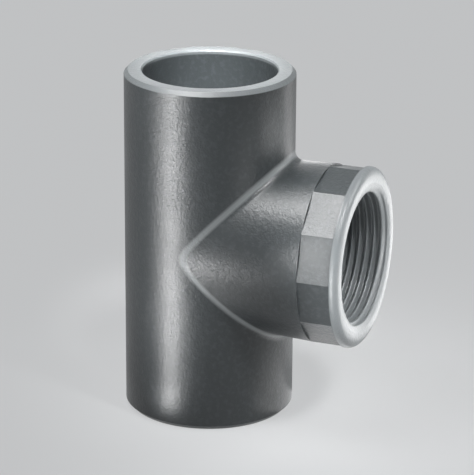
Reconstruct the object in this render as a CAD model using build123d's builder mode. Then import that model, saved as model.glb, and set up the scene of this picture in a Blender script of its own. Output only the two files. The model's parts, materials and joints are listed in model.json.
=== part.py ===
"""Pipe tee moulded in one piece from grey rigid PVC.

The run stands along Z and takes a 40 mm pipe in a cement socket at each end.
The branch leaves it at mid height along +X, widens towards its mouth with a mould
draft, and ends in a 1 1/4 inch female pipe thread, with a ring of wrench flats and
a rounded lip. All sizes are in millimetres. The origin is the centre of the lower
rim's plane, on the axis of the run.
"""
import os

from build123d import *

# Cement sockets for 40 mm pipe, the wall round them, and the way between their pipe stops
socket_d = 40.2
socket_wall = 5.4
socket_depth = 26.0
socket_lead_in = 0.4
run_way_d = 34.5

# Run: the straight barrel from rim to rim
run_length = 105.0
rim_bevel = 1.2

# Branch: a hair thinner than the run at its axis, so the saddle closes in one point on
# each side, and wider at its mouth, round the thread
branch_inset = 0.2
branch_reach = 49.8
branch_way_d = 33.0
mouth_wall = 4.6
saddle_round = 2.8

# Female 1 1/4 inch parallel pipe thread, left at its crest diameter, and its countersink
thread_crest_d = 38.95
thread_depth = 25.0
countersink_d = 45.0
countersink_depth = 1.0

# Wrench flats between the draft of the branch and the lip of its mouth
lip_width = 2.4
lip_round = 2.2
flat_count = 12
flat_length = 9.8
flat_drop = 0.75

# Sizes and places that follow from those above
run_outer_d = socket_d + 2 * socket_wall
branch_height = run_length / 2
branch_start_d = run_outer_d - 2 * branch_inset
mouth_d = countersink_d + 2 * mouth_wall
flats_end = branch_reach - lip_width
flats_start = flats_end - flat_length
branch_end_d = branch_start_d + (mouth_d - branch_start_d) * flats_start / flats_end
axis_plane = Plane(origin=(0, 0, branch_height), x_dir=(0, 1, 0), z_dir=(1, 0, 0))
mouth_plane = axis_plane.offset(branch_reach)
upper_plane = Plane(origin=(0, 0, run_length), z_dir=(0, 0, 1))
lower_plane = Plane(origin=(0, 0, 0), x_dir=(1, 0, 0), z_dir=(0, 0, -1))


def circles_of(part, diameter):
    """The round edges of a part that have this diameter."""
    round_edges = part.edges().filter_by(GeomType.CIRCLE)
    return round_edges.filter_by(lambda edge: abs(2 * edge.radius - diameter) < 0.01)


with BuildPart() as tee_body:
    # Barrel of the run, with both rims bevelled
    with BuildSketch():
        Circle(run_outer_d / 2)
    extrude(amount=run_length)
    chamfer(circles_of(tee_body, run_outer_d), rim_bevel)

    # Barrel of the branch, from the run's axis to its wrench flats
    with BuildSketch(axis_plane):
        Circle(branch_start_d / 2)
    with BuildSketch(axis_plane.offset(flats_start)):
        Circle(branch_end_d / 2)
    loft()

    # Saddle between the two barrels: the only edges that are neither circles nor straight
    saddle = tee_body.edges().filter_by(
        lambda edge: edge.geom_type not in (GeomType.CIRCLE, GeomType.LINE)
    )
    fillet(saddle, saddle_round)

    # Wrench flats, as a prism just under the barrel's end
    with BuildSketch(axis_plane.offset(flats_start)):
        RegularPolygon(
            radius=branch_end_d / 2 - flat_drop, side_count=flat_count, major_radius=False
        )
    extrude(amount=flat_length)

    # Lip of the mouth
    with BuildSketch(axis_plane.offset(flats_end)):
        Circle(mouth_d / 2)
    extrude(amount=lip_width)
    lip_edge = circles_of(tee_body, mouth_d).sort_by(Axis.X)[-1]
    fillet(lip_edge, lip_round)

    # Cement sockets with their pipe stops, open into each other
    with Locations(upper_plane, lower_plane):
        CounterBoreHole(
            radius=run_way_d / 2,
            counter_bore_radius=socket_d / 2,
            counter_bore_depth=socket_depth,
            depth=run_length / 2,
        )
    socket_mouths = circles_of(tee_body, socket_d).group_by(Axis.Z)
    chamfer(socket_mouths[0] + socket_mouths[-1], socket_lead_in)

    # Threaded hole of the branch, and its way into the run
    with Locations(mouth_plane):
        CounterBoreHole(
            radius=branch_way_d / 2,
            counter_bore_radius=thread_crest_d / 2,
            counter_bore_depth=thread_depth,
            depth=branch_reach,
        )
    with BuildSketch(mouth_plane):
        Circle(countersink_d / 2)
    with BuildSketch(mouth_plane.offset(-countersink_depth)):
        Circle(thread_crest_d / 2)
    loft(mode=Mode.SUBTRACT)

tee_body.part.label = "tee_body"

os.makedirs("parts", exist_ok=True)
export_step(tee_body.part, "parts/tee_body.step")
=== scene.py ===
"""Looks of a grey PVC pipe tee: one moulding, cut with a real pipe thread, in a plain studio.

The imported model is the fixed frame. Lengths are metres, and the frame's own numbers set the places.
"""
import json
import logging
import math
from dataclasses import dataclass
from enum import Enum

import bmesh
import bpy
from mathutils import Matrix, Vector


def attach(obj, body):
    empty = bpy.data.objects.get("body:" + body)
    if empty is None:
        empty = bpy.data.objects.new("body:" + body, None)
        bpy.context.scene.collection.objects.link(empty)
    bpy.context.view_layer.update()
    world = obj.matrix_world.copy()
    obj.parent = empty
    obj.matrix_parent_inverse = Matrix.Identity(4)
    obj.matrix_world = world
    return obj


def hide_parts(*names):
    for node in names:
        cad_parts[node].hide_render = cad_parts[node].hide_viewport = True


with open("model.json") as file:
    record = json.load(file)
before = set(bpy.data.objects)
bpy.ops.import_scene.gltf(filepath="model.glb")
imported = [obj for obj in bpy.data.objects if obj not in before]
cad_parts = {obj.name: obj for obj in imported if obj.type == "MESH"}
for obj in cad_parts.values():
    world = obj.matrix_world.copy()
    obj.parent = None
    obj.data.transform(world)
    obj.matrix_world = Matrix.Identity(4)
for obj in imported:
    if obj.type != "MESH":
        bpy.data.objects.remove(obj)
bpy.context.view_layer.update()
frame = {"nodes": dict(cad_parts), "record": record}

MM = 0.001
NODE = "tee_body"

Triple = tuple[float, float, float]
Pair = tuple[float, float]

log = logging.getLogger("pipe_tee")


class Grain(Enum):
    """The moulding's surface patterns, as repeats per metre and octaves."""

    FINE = (1700.0, 3.0)
    COARSE = (700.0, 2.0)
    CLOUDS = (60.0, 4.0)


def mount(name: str) -> dict:
    """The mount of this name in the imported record.

    Args:
        name: The mount's name.

    Returns:
        The mount as the record gives it.
    """
    return next(m for m in frame["record"]["mounts"] if m["name"] == name)


def new_object(name: str, shape: bmesh.types.BMesh) -> bpy.types.Object:
    """Turns a finished bmesh into an object of the scene.

    Args:
        name: Name of the object and of its mesh.
        shape: The bmesh, which is freed.

    Returns:
        The new object, at the origin.
    """
    mesh = bpy.data.meshes.new(name)
    shape.to_mesh(mesh)
    shape.free()
    made = bpy.data.objects.new(name, mesh)
    bpy.context.scene.collection.objects.link(made)
    return made


@dataclass(frozen=True)
class NodeKit:
    """Adds the usual nodes to one node tree."""

    tree: bpy.types.NodeTree

    def math(
        self, operation: str, first: bpy.types.NodeSocket, second: bpy.types.NodeSocket | float
    ) -> bpy.types.NodeSocket:
        """One sum on a socket and a second socket or a number.

        Args:
            operation: Blender's name of the sum.
            first: The socket that is worked on.
            second: A socket or a number.

        Returns:
            The result.
        """
        node = self.tree.nodes.new("ShaderNodeMath")
        node.operation = operation
        self.tree.links.new(first, node.inputs[0])
        if isinstance(second, bpy.types.NodeSocket):
            self.tree.links.new(second, node.inputs[1])
        else:
            node.inputs[1].default_value = second
        return node.outputs["Value"]

    def span(
        self, value: bpy.types.NodeSocket, source: Pair, result: Pair = (0.0, 1.0)
    ) -> bpy.types.NodeSocket:
        """Spreads a value from one range to another, clamped.

        Args:
            value: The value to spread.
            source: Ends of the range it comes from.
            result: Ends of the range it goes to.

        Returns:
            The value in its new range.
        """
        node = self.tree.nodes.new("ShaderNodeMapRange")
        names = ("From Min", "From Max", "To Min", "To Max")
        for name, number in zip(names, (*source, *result)):
            node.inputs[name].default_value = number
        self.tree.links.new(value, node.inputs["Value"])
        return node.outputs["Result"]

    def noise(self, place: bpy.types.NodeSocket, grain: Grain) -> bpy.types.NodeSocket:
        """A noise on the piece's own coordinates.

        Args:
            place: The piece's Object coordinates.
            grain: Which of the surface patterns.

        Returns:
            The noise's value.
        """
        node = self.tree.nodes.new("ShaderNodeTexNoise")
        scale, detail = grain.value
        node.inputs["Scale"].default_value = scale
        node.inputs["Detail"].default_value = detail
        self.tree.links.new(place, node.inputs["Vector"])
        return node.outputs["Fac"]

    def blend(
        self,
        under: bpy.types.NodeSocket | Triple,
        over: Triple,
        share: bpy.types.NodeSocket,
    ) -> bpy.types.NodeSocket:
        """Lays one colour over another.

        Args:
            under: The colour that is there, from a socket or plain.
            over: The colour that covers it.
            share: How much it covers.

        Returns:
            The blended colour.
        """
        node = self.tree.nodes.new("ShaderNodeMix")
        node.data_type = "RGBA"
        if isinstance(under, bpy.types.NodeSocket):
            self.tree.links.new(under, node.inputs["A"])
        else:
            node.inputs["A"].default_value = (*under, 1.0)
        node.inputs["B"].default_value = (*over, 1.0)
        self.tree.links.new(share, node.inputs["Factor"])
        return node.outputs["Result"]

    def shaders(
        self,
        share: bpy.types.NodeSocket,
        first: bpy.types.NodeSocket,
        second: bpy.types.NodeSocket,
        surface: bpy.types.NodeSocket,
    ) -> None:
        """Mixes two shaders and leads them to the output.

        Args:
            share: How much of the second one shows.
            first: The shader that is there.
            second: The shader that is mixed in.
            surface: The output's surface socket.
        """
        node = self.tree.nodes.new("ShaderNodeMixShader")
        self.tree.links.new(share, node.inputs["Fac"])
        self.tree.links.new(first, node.inputs[1])
        self.tree.links.new(second, node.inputs[2])
        self.tree.links.new(node.outputs["Shader"], surface)

    def seen_plainly(self) -> bpy.types.NodeSocket:
        """Tells the rays that look at the background from those that carry its light.

        Returns:
            One for camera, glossy and transmitted rays, nought for the rest.
        """
        path = self.tree.nodes.new("ShaderNodeLightPath").outputs
        seen = self.math("MAXIMUM", path["Is Camera Ray"], path["Is Glossy Ray"])
        return self.math("MAXIMUM", seen, path["Is Transmission Ray"])


@dataclass(frozen=True)
class MouldedPvc:
    """Satin dark grey PVC: fine grain, faint clouds, faint specks, and painted highlights on its ends
    and along its saddle.
    """

    name: str = "moulded_grey_pvc"
    # Colours of the skin, its specks, the painted highlight on the ends and the painted highlight
    # along the saddle
    colour: Triple = (0.034, 0.0395, 0.042)
    pale: Triple = (0.049, 0.0555, 0.059)
    end_highlight: Triple = (0.125, 0.137, 0.142)
    saddle_highlight: Triple = (0.20, 0.215, 0.22)
    # Parts of the noises that make specks and clouds, the roughness in the clouds, and the grain
    specks: Pair = (0.48, 0.72)
    clouds: Pair = (0.35, 0.65)
    sheen: Pair = (0.34, 0.40)
    ior: float = 1.53
    grain_height: float = 0.14 * MM
    grain_strength: float = 0.6
    # Where the painted highlight on the ends starts, and how far from the branch's axis the cut
    # thread reaches
    branch_height: float = 52.5 * MM
    rim_upper: float = 103.8 * MM
    rim_lower: float = 1.2 * MM
    lip_start: float = 47.5 * MM
    thread_start: float = 24.8 * MM
    thread_reach: Pair = (23.0 * MM, 22.7 * MM)
    edge_soft: float = 0.15 * MM
    # The saddle's painted highlight band: height and shift of its point, half its width from nought
    # to full, its bend
    highlight_height: float = 53.7 * MM
    highlight_shift: float = -1.4 * MM
    highlight_reach: Pair = (1.75 * MM, 0.6125 * MM)
    tip_round: float = 3.2 * MM

    def build(self) -> bpy.types.Material:
        """Makes the node material.

        Returns:
            The material.
        """
        made = bpy.data.materials.new(self.name)
        made.use_nodes = True
        kit = NodeKit(made.node_tree)
        links = made.node_tree.links
        shader = made.node_tree.nodes["Principled BSDF"]
        shader.inputs["IOR"].default_value = self.ior
        place = made.node_tree.nodes.new("ShaderNodeTexCoord").outputs["Object"]
        fine, coarse = kit.noise(place, Grain.FINE), kit.noise(place, Grain.COARSE)

        body = kit.blend(self.colour, self.pale, kit.span(coarse, self.specks))
        # Painted highlight on both rims, the mouth's lip and the thread
        ends = kit.blend(body, self.end_highlight, self._end_highlight_mask(kit, place))
        # Painted highlight along the saddle
        coat = kit.blend(ends, self.saddle_highlight, self._saddle_highlight_band(kit, place))
        links.new(coat, shader.inputs["Base Color"])

        sheen = kit.span(kit.noise(place, Grain.CLOUDS), self.clouds, self.sheen)
        links.new(sheen, shader.inputs["Roughness"])

        bump = made.node_tree.nodes.new("ShaderNodeBump")
        bump.inputs["Strength"].default_value = self.grain_strength
        bump.inputs["Distance"].default_value = self.grain_height
        links.new(kit.math("ADD", fine, coarse), bump.inputs["Height"])
        links.new(bump.outputs["Normal"], shader.inputs["Normal"])
        return made

    def _step(
        self, kit: NodeKit, value: bpy.types.NodeSocket, edge: float, way: int = 1
    ) -> bpy.types.NodeSocket:
        """A soft step at a place.

        Args:
            kit: The material's node kit.
            value: The coordinate.
            edge: Where the step is.
            way: 1 where it rises along the coordinate, -1 where it falls.

        Returns:
            Nought on one side, one on the other.
        """
        soft = self.edge_soft * way
        return kit.span(value, (edge - soft, edge + soft))

    def _end_highlight_mask(self, kit: NodeKit, place: bpy.types.NodeSocket) -> bpy.types.NodeSocket:
        """Finds where a highlight is painted: both rims, the lip of the mouth and the thread.

        Args:
            kit: The material's node kit.
            place: The piece's Object coordinates.

        Returns:
            One where the highlight is painted, nought elsewhere.
        """
        axes = kit.tree.nodes.new("ShaderNodeSeparateXYZ")
        kit.tree.links.new(place, axes.inputs["Vector"])
        x, y, z = axes.outputs
        upper = self._step(kit, z, self.rim_upper)
        lower = self._step(kit, z, self.rim_lower, -1)
        lip = self._step(kit, x, self.lip_start)
        height = kit.math("SUBTRACT", z, self.branch_height)
        squares = kit.math("ADD", kit.math("MULTIPLY", height, height), kit.math("MULTIPLY", y, y))
        hollow = kit.span(kit.math("POWER", squares, 0.5), self.thread_reach)
        cut = kit.math("MULTIPLY", hollow, self._step(kit, x, self.thread_start))
        rims = kit.math("MAXIMUM", upper, lower)
        return kit.math("MAXIMUM", rims, kit.math("MAXIMUM", lip, cut))

    def _saddle_highlight_band(self, kit: NodeKit, place: bpy.types.NodeSocket) -> bpy.types.NodeSocket:
        """Finds the saddle's painted highlight, a band along the two slanting planes on which the
        barrels meet.

        A hyperbola joins the planes with a round at the saddle's point.

        Args:
            kit: The material's node kit.
            place: The piece's Object coordinates.

        Returns:
            One on the saddle's roll, nought elsewhere.
        """
        axes = kit.tree.nodes.new("ShaderNodeSeparateXYZ")
        kit.tree.links.new(place, axes.inputs["Vector"])
        height = kit.math("SUBTRACT", axes.outputs["Z"], self.highlight_height)
        bent = kit.math("ADD", kit.math("MULTIPLY", height, height), self.tip_round**2)
        plane = kit.math("POWER", bent, 0.5)
        off = kit.math("SUBTRACT", axes.outputs["X"], plane)
        away = kit.math("ABSOLUTE", kit.math("SUBTRACT", off, self.highlight_shift), 0.0)
        return kit.span(away, self.highlight_reach)


@dataclass
class PipeThread:
    """Female parallel pipe thread with its countersink, as the plug that it leaves room for."""

    height: float
    crest_radius: float
    inner_end: float
    countersink_start: float
    mouth: float
    opening_radius: float
    # The pipe thread's form, with 11 turns to the inch; its edges are shares of a turn
    pitch: float = 2.309 * MM
    groove_depth: float = 1.479 * MM
    crest_edge: float = 5 / 12
    root_edge: float = 1 / 12
    rounding: float = 0.04
    run_out_turns: float = 1.5
    # The plug's mesh, and how far it stands past the hole that it cuts
    rows_per_turn: int = 12
    steps: int = 144
    overshoot: float = 0.5 * MM
    seat: float = 0.01 * MM
    weld: float = 0.002 * MM
    cut_slack: float = 0.0005 * MM

    @classmethod
    def from_frame(cls) -> "PipeThread":
        """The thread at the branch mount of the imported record.

        Returns:
            The thread, at its real size and place.
        """
        hole = mount("branch_thread")
        radius = hole["dims"]["r_mm"] * MM
        half = hole["dims"]["length_mm"] * MM / 2
        centre, _, height = hole["pos_m"]
        mouth = mount("branch_face")["pos_m"][0]
        skin = (vert.co for vert in frame["nodes"][NODE].data.vertices)
        on_face = [co for co in skin if math.isclose(co.x, mouth, abs_tol=1e-6)]
        opening = min(math.hypot(co.y, co.z - height) for co in on_face)
        return cls(height, radius, centre - half, centre + half, mouth, opening)

    def radius_at(self, x: float, turn: float) -> float:
        """Radius of the plug.

        Args:
            x: Place along the branch.
            turn: Share of a full turn about the branch's axis.

        Returns:
            The larger of the thread's radius and the countersink's.
        """
        phase = ((x - self.inner_end) / self.pitch - turn) % 1.0
        flank = (self.crest_edge - abs(phase - 0.5)) / (self.crest_edge - self.root_edge)
        flank = min(max(flank, 0.0), 1.0)
        rounded = flank - self.rounding * math.sin(4 * math.pi * flank)
        fade = min(max((x - self.inner_end) / (self.run_out_turns * self.pitch), 0.0), 1.0)
        thread = self.crest_radius + self.groove_depth * rounded * fade
        slope = (self.opening_radius - self.crest_radius) / (self.mouth - self.countersink_start)
        cone = self.crest_radius + slope * (x - self.countersink_start)
        return max(thread, cone, self.crest_radius) + self.seat

    def plug(self) -> bpy.types.Object:
        """Screws a row of points once round the axis and shapes the result to the thread.

        Returns:
            The closed plug, to be cut from the branch.
        """
        shape = bmesh.new()
        row = self.pitch / self.rows_per_turn
        first = self.inner_end - 2 * self.pitch
        last = self.mouth + self.overshoot + self.pitch
        count = math.ceil((last - first) / row)
        line = [
            shape.verts.new((first + i * row, self.crest_radius, self.height)) for i in range(count)
        ]
        edges = [shape.edges.new(pair) for pair in zip(line, line[1:])]
        bmesh.ops.spin(
            shape,
            geom=line + edges,
            cent=(0.0, 0.0, self.height),
            axis=(1.0, 0.0, 0.0),
            dvec=(self.pitch / self.steps, 0.0, 0.0),
            angle=2 * math.pi,
            steps=self.steps,
            use_merge=False,
            use_duplicate=False,
        )
        bmesh.ops.remove_doubles(shape, verts=shape.verts, dist=self.weld)
        self._cut(shape, self.inner_end - self.seat, Vector((-1.0, 0.0, 0.0)))
        self._cut(shape, self.mouth + self.overshoot, Vector((1.0, 0.0, 0.0)))
        for vert in shape.verts:
            arm = Vector((0.0, vert.co.y, vert.co.z - self.height))
            turn = math.atan2(arm.z, arm.y) / (2 * math.pi)
            arm.length = self.radius_at(vert.co.x, turn)
            vert.co = Vector((vert.co.x, arm.y, arm.z + self.height))
        rims = [edge for edge in shape.edges if edge.is_boundary]
        bmesh.ops.holes_fill(shape, edges=rims, sides=0)
        bmesh.ops.recalc_face_normals(shape, faces=shape.faces)
        return new_object("thread_plug", shape)

    def _cut(self, shape: bmesh.types.BMesh, x: float, outward: Vector) -> None:
        """Cuts off what lies beyond a plane across the branch.

        Args:
            shape: The mesh that is cut.
            x: Place of the plane along the branch.
            outward: Direction of the side that goes.
        """
        bmesh.ops.bisect_plane(
            shape,
            geom=shape.verts[:] + shape.edges[:] + shape.faces[:],
            dist=self.cut_slack,
            plane_co=(x, 0.0, 0.0),
            plane_no=outward,
            clear_outer=True,
        )


@dataclass
class TeeBody:
    """The moulding: the frame's own solid with the thread cut into its branch."""

    thread: PipeThread
    finish: MouldedPvc
    # Angles from which an edge is sharp, on the whole skin and among the wrench flats
    crease: float = math.radians(35.0)
    flat_crease: float = math.radians(10.0)
    flats: Pair = (37.7 * MM, 47.3 * MM)
    flats_clear: float = 3 * MM
    thread_outside: float = 21.6 * MM
    weld: float = 0.001 * MM

    def build(self) -> bpy.types.Object:
        """Makes the moulding and dresses it.

        Returns:
            The finished piece, which stands for the CAD node.
        """
        body = new_object("moulded_tee", self._clean_copy())
        plug = self.thread.plug()
        self._subtract(body, plug)
        self._shade(body.data)
        body.data.materials.clear()
        body.data.materials.append(self.finish.build())
        return body

    def _clean_copy(self) -> bmesh.types.BMesh:
        """A copy of the frame's solid, with its loose triangles joined into one closed skin.

        Returns:
            The copy.
        """
        shape = bmesh.new()
        shape.from_mesh(frame["nodes"][NODE].data)
        bmesh.ops.remove_doubles(shape, verts=shape.verts, dist=self.weld)
        return shape

    @staticmethod
    def _subtract(body: bpy.types.Object, plug: bpy.types.Object) -> None:
        """Cuts the plug out of the body for good.

        Args:
            body: The piece that is cut.
            plug: The closed shape that goes, with its object.
        """
        cut = body.modifiers.new("thread", "BOOLEAN")
        cut.operation = "DIFFERENCE"
        cut.solver = "EXACT"
        cut.object = plug
        graph = bpy.context.evaluated_depsgraph_get()
        result = bpy.data.meshes.new_from_object(body.evaluated_get(graph))
        body.modifiers.clear()
        old = body.data
        body.data = result
        result.name = body.name
        bpy.data.meshes.remove(old)
        bpy.data.objects.remove(plug)

    def _shade(self, mesh: bpy.types.Mesh) -> None:
        """Shades the mesh smooth, with its real creases sharp.

        Args:
            mesh: The finished mesh.
        """
        shape = bmesh.new()
        shape.from_mesh(mesh)
        low, high = self.flats
        for face in shape.faces:
            face.smooth = True
        for edge in shape.edges:
            if not edge.is_manifold:
                continue
            middle = (edge.verts[0].co + edge.verts[1].co) / 2
            reach = math.hypot(middle.y, middle.z - self.thread.height)
            on_flats = low < middle.x < high and reach > self.thread.crest_radius + self.flats_clear
            limit = self.flat_crease if on_flats else self.crease
            past_end = middle.x > self.thread.inner_end and not on_flats
            on_thread = past_end and reach < self.thread_outside
            edge.smooth = on_thread or edge.calc_face_angle(0.0) < limit
        shape.to_mesh(mesh)
        shape.free()


def facing(place: Vector, target: Vector) -> Matrix:
    """Stands at a place and looks at a target.

    Args:
        place: Where a lamp or the camera stands.
        target: What it looks at.

    Returns:
        The transform of the lamp or camera.
    """
    turn = (target - place).normalized().to_track_quat("-Z", "Y")
    return Matrix.Translation(place) @ turn.to_matrix().to_4x4()


@dataclass(frozen=True)
class PaleFloor:
    """Plain pale floor that keeps the shadow."""

    colour: Triple = (0.60, 0.61, 0.62)
    bounce: Triple = (0.20, 0.20, 0.20)
    glow: Triple = (0.72, 0.73, 0.74)
    lift: float = 0.70
    roughness: float = 0.9
    half_size: float = 3.0

    def build(self) -> bpy.types.Object:
        """Makes the floor under the tee.

        Returns:
            The floor.
        """
        shape = bmesh.new()
        bmesh.ops.create_grid(shape, x_segments=1, y_segments=1, size=self.half_size)
        floor = new_object("floor", shape)
        floor.data.materials.append(self._material())
        return floor

    def _material(self) -> bpy.types.Material:
        """Pale matt paint, lifted a little where the camera looks at it.

        Returns:
            The material.
        """
        made = bpy.data.materials.new("pale_floor")
        made.use_nodes = True
        nodes = made.node_tree.nodes
        kit = NodeKit(made.node_tree)
        seen = kit.seen_plainly()
        shader = nodes["Principled BSDF"]
        shader.inputs["Roughness"].default_value = self.roughness
        shader.inputs["Specular IOR Level"].default_value = 0.0
        paint = kit.blend(self.bounce, self.colour, seen)
        made.node_tree.links.new(paint, shader.inputs["Base Color"])
        glow = nodes.new("ShaderNodeEmission")
        glow.inputs["Color"].default_value = (*self.glow, 1.0)
        share = kit.math("MULTIPLY", seen, self.lift)
        surface = nodes["Material Output"].inputs["Surface"]
        kit.shaders(share, shader.outputs["BSDF"], glow.outputs["Emission"], surface)
        return made


@dataclass(frozen=True)
class SoftBox:
    """One rectangular studio lamp with a grid, placed from the camera's side.

    Its spot and its subject are given in metres right of the run's axis, away from the camera and
    up from the floor; its size in metres, its energy in watts and its grid's opening in degrees.
    """

    name: str
    spot: Triple
    subject: Triple
    size: Pair
    energy: float
    opening: float

    def build(self, side: Vector, ahead: Vector) -> bpy.types.Object:
        """Hangs the lamp and turns it to its subject.

        Args:
            side: The level direction to the right of the picture.
            ahead: The level direction away from the camera.

        Returns:
            The lamp.
        """
        lamp = bpy.data.lights.new(self.name, "AREA")
        lamp.shape = "RECTANGLE"
        lamp.size, lamp.size_y = self.size
        lamp.energy = self.energy
        lamp.spread = math.radians(self.opening)
        made = bpy.data.objects.new(self.name, lamp)
        bpy.context.scene.collection.objects.link(made)
        made.visible_camera = False
        place, target = (
            side * right + ahead * away + Vector((0.0, 0.0, up))
            for right, away, up in (self.spot, self.subject)
        )
        made.matrix_world = facing(place, target)
        return made


LAMPS = (
    # The bright band down the run, from its upper rim to its foot
    SoftBox(
        "run_broad", spot=(-0.0865, -0.0662, 0.046), subject=(-0.0125, -0.0222, 0.0766),
        size=(0.05, 0.09), energy=0.0072, opening=27.0,
    ),
    SoftBox(
        "run_core", spot=(-0.0738, -0.0803, 0.046), subject=(-0.012, -0.0226, 0.0766),
        size=(0.018, 0.09), energy=0.0034, opening=20.0,
    ),
    SoftBox(
        "run_foot", spot=(-0.0385, -0.0445, 0.0115), subject=(-0.0114, -0.0228, 0.023),
        size=(0.016, 0.02), energy=0.00095, opening=40.0,
    ),
    SoftBox(
        "run_toe", spot=(-0.021, -0.03, 0.0045), subject=(-0.0114, -0.0228, 0.009),
        size=(0.009, 0.007), energy=0.00034, opening=74.0,
    ),
    SoftBox(
        "foot_near", spot=(-0.0385, -0.0431, 0.001), subject=(-0.0376, -0.0423, 0.1),
        size=(0.024, 0.04), energy=0.006, opening=180.0,
    ),
    SoftBox(
        "foot_far", spot=(-0.0648, -0.0616, 0.001), subject=(-0.0639, -0.0608, 0.1),
        size=(0.026, 0.04), energy=0.0045, opening=180.0,
    ),
    # The top of the branch and two of its flats
    SoftBox(
        "overhead", spot=(-0.03, -0.044, 0.205), subject=(0.026, -0.028, 0.072),
        size=(0.13, 0.07), energy=0.053, opening=60.0,
    ),
    SoftBox(
        "flat_side", spot=(0.007, -0.066, 0.0645), subject=(0.03, -0.04, 0.0595),
        size=(0.012, 0.02), energy=0.001, opening=50.0,
    ),
    SoftBox(
        "flat_top", spot=(0.0105, -0.0425, 0.1154), subject=(0.032, -0.034, 0.071),
        size=(0.014, 0.02), energy=0.0007, opening=60.0,
    ),
    # The threaded mouth and its lip
    SoftBox(
        "mouth_behind", spot=(0.084, 0.0237, 0.0322), subject=(0.046, -0.018, 0.0525),
        size=(0.06, 0.05), energy=0.0042, opening=70.0,
    ),
    SoftBox(
        "mouth_right", spot=(0.0993, -0.0191, 0.047), subject=(0.046, -0.018, 0.0525),
        size=(0.05, 0.05), energy=0.0056, opening=50.0,
    ),
    SoftBox(
        "mouth_above", spot=(0.118, -0.009, 0.1056), subject=(0.046, -0.018, 0.0525),
        size=(0.05, 0.05), energy=0.0072, opening=50.0,
    ),
    SoftBox(
        "lip_right", spot=(0.0571, -0.061, 0.0424), subject=(0.0363, -0.042, 0.0525),
        size=(0.026, 0.05), energy=0.0009, opening=60.0,
    ),
    SoftBox(
        "lip_front", spot=(0.0333, -0.0699, 0.0424), subject=(0.0363, -0.042, 0.0525),
        size=(0.012, 0.045), energy=0.004, opening=60.0,
    ),
    # The upper rim, the socket and the whole tee from above
    SoftBox(
        "rim_behind", spot=(0.0, 0.1411, 0.1557), subject=(0.0, 0.0, 0.105),
        size=(0.075, 0.045), energy=0.00038, opening=18.0,
    ),
    SoftBox(
        "key", spot=(0.157, -0.151, 0.286), subject=(0.05, -0.018, 0.0525),
        size=(0.08, 0.08), energy=0.024, opening=20.0,
    ),
    SoftBox(
        "socket_front", spot=(0.0, -0.038, 0.1816), subject=(0.0, 0.012, 0.095),
        size=(0.03, 0.03), energy=0.022, opening=26.0,
    ),
    # The run's right edge, the undersides and the back
    SoftBox(
        "edge_right", spot=(0.0975, 0.0495, 0.037), subject=(0.0255, 0.0, 0.055),
        size=(0.03, 0.09), energy=0.003, opening=60.0,
    ),
    SoftBox(
        "branch_under", spot=(0.037, -0.012, 0.001), subject=(0.037, -0.0115, 0.1),
        size=(0.03, 0.03), energy=0.0034, opening=180.0,
    ),
    SoftBox(
        "mouth_under", spot=(0.062, 0.01, 0.001), subject=(0.0615, 0.01, 0.1),
        size=(0.05, 0.04), energy=0.0024, opening=180.0,
    ),
    SoftBox(
        "back_fill", spot=(0.0, 0.24, 0.052), subject=(0.0, 0.0, 0.052),
        size=(0.09, 0.085), energy=0.008, opening=44.0,
    ),
)


@dataclass(frozen=True)
class Studio:
    """Camera, world, floor and lamps."""

    camera_place: Triple = (0.2777, -0.6944, 0.3208)
    camera_target: Triple = (0.00769, 0.00298, 0.0522)
    camera_roll: float = math.radians(0.38)
    lens: float = 199.79
    sensor: float = 36.0
    clip_start: float = 0.01
    world: Triple = (0.14, 0.143, 0.146)
    backdrop: Triple = (0.555, 0.563, 0.572)
    lamps: tuple[SoftBox, ...] = LAMPS

    def build(self) -> None:
        """Sets up everything that isn't part of the tee."""
        bpy.context.scene.view_settings.view_transform = "Standard"
        self._camera()
        self._world()
        PaleFloor().build()
        look = Vector(self.camera_target) - Vector(self.camera_place)
        ahead = Vector((look.x, look.y, 0.0)).normalized()
        side = Vector((ahead.y, -ahead.x, 0.0))
        for lamp in self.lamps:
            lamp.build(side, ahead)
            log.info("lamp %s", lamp.name)

    def _camera(self) -> None:
        """Places the camera at the photograph's viewing angle."""
        lens = bpy.data.cameras.new("camera")
        lens.lens = self.lens
        lens.sensor_width = self.sensor
        lens.clip_start = self.clip_start
        eye = bpy.data.objects.new("camera", lens)
        bpy.context.scene.collection.objects.link(eye)
        roll = Matrix.Rotation(self.camera_roll, 4, "Z")
        eye.matrix_world = facing(Vector(self.camera_place), Vector(self.camera_target)) @ roll
        bpy.context.scene.camera = eye

    def _world(self) -> None:
        """Even dim light from all round; the camera and mirrors see the pale backdrop."""
        world = bpy.data.worlds.new("studio")
        bpy.context.scene.world = world
        world.use_nodes = True
        nodes = world.node_tree.nodes
        kit = NodeKit(world.node_tree)
        plain = nodes["Background"]
        plain.inputs["Color"].default_value = (*self.world, 1.0)
        pale = nodes.new("ShaderNodeBackground")
        pale.inputs["Color"].default_value = (*self.backdrop, 1.0)
        surface = nodes["World Output"].inputs["Surface"]
        plainly = kit.seen_plainly()
        kit.shaders(plainly, plain.outputs["Background"], pale.outputs["Background"], surface)


def main() -> None:
    """Builds the tee and the studio, in that order."""
    logging.basicConfig(level=logging.INFO, format="%(name)s: %(message)s")
    body = TeeBody(PipeThread.from_frame(), MouldedPvc()).build()
    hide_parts(NODE)
    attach(body, "root")
    log.info("%s: %d faces", body.name, len(body.data.polygons))
    Studio().build()


if __name__ == "__main__":
    main()
